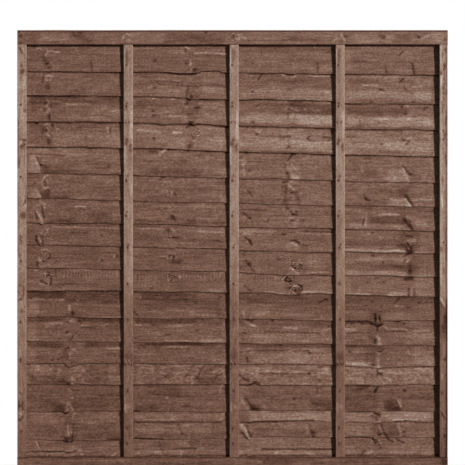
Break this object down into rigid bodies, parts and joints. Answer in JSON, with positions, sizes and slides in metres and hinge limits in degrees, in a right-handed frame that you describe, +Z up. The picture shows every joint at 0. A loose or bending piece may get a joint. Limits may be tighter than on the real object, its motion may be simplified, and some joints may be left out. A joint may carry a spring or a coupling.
{
  "type": "overlap fence panel",
  "caption": "Square timber fence panel of thin waney-edged boards that lap like tiles, held between a front and a rear frame of sawn rails, stiles and upright battens.",
  "frame": {"origin": "middle of the front left stile's outer face, the flat face that goes against the post", "axes": "+X along the panel from the left end to the right end seen from the front, which faces -Y; +Z up"},
  "size_m": [1.828, 0.0502, 1.8683],
  "materials": {
    "boards": "rough sawn softwood, weathered brown stain",
    "frame": "sawn softwood laths, brown stain bleached above and dark at the foot",
    "battens": "sawn softwood laths, brown stain bleached above and dark at the foot",
    "cap": "thin sawn softwood strip, bleached"
  },
  "bodies": {
    "root": {"cap_strip": "cap", "front_top_rail": "frame", "front_bottom_rail": "frame", "front_left_stile": "frame", "front_right_stile": "frame", "front_batten_1": "battens", "front_batten_2": "battens", "front_batten_3": "battens", "rear_top_rail": "frame", "rear_bottom_rail": "frame", "rear_left_stile": "frame", "rear_right_stile": "frame", "rear_batten_1": "battens", "rear_batten_2": "battens", "rear_batten_3": "battens", "board_01": "boards", "board_02": "boards", "board_03": "boards", "board_04": "boards", "board_05": "boards", "board_06": "boards", "board_07": "boards", "board_08": "boards", "board_09": "boards", "board_10": "boards", "board_11": "boards", "board_12": "boards", "board_13": "boards", "board_14": "boards", "board_15": "boards", "board_16": "boards", "board_17": "boards"}
  },
  "joints": []
}
